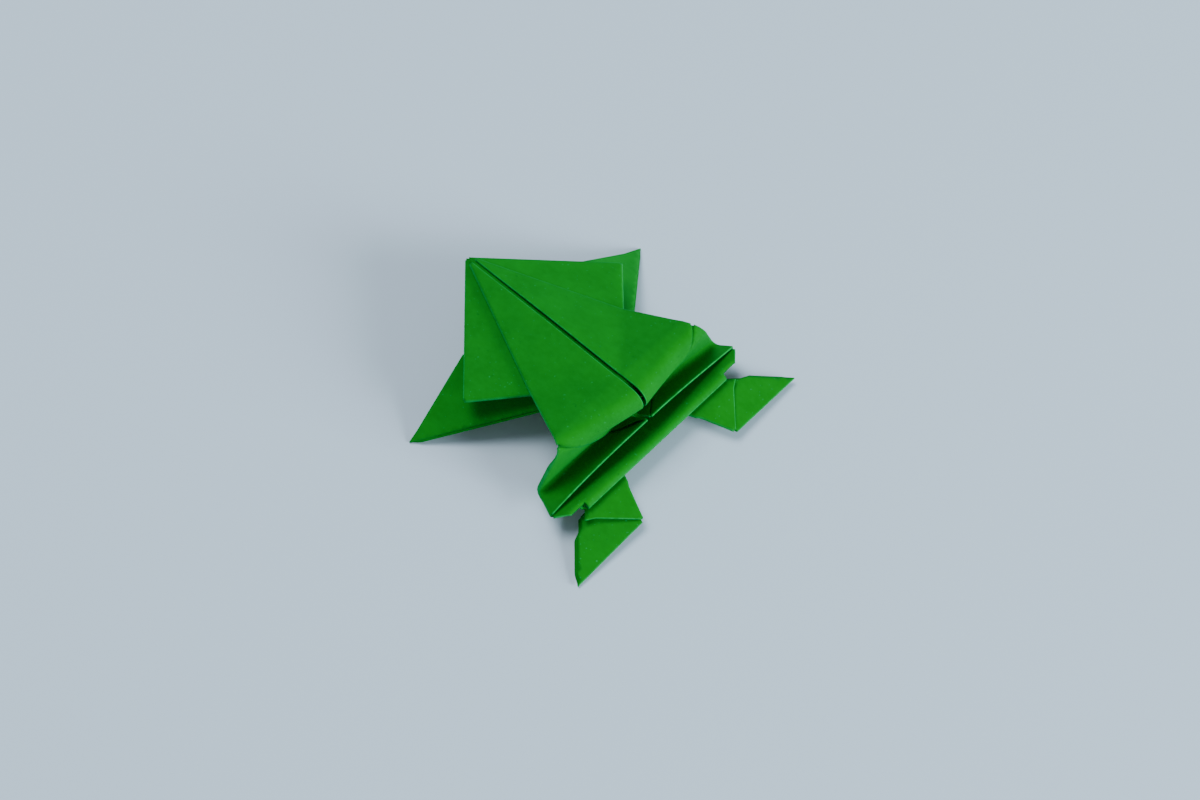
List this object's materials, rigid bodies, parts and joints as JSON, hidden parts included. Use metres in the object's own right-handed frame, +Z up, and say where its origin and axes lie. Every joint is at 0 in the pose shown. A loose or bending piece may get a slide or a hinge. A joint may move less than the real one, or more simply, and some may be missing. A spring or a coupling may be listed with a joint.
{
  "type": "origami frog",
  "caption": "Jumping frog folded from one rectangle of paper: pointed head, kite-folded back, splayed legs and a Z-pleated spring at the rear.",
  "frame": {"origin": "on the floor, under the middle of the frog's box", "axes": "+Z up from the floor, +Y from the tail to the nose, +X to the frog's right"},
  "size_m": [0.0548, 0.0514, 0.0149],
  "materials": {
    "paper": "matte uncoated green paper"
  },
  "bodies": {
    "root": {"folded_sheet": "paper"}
  },
  "joints": []
}
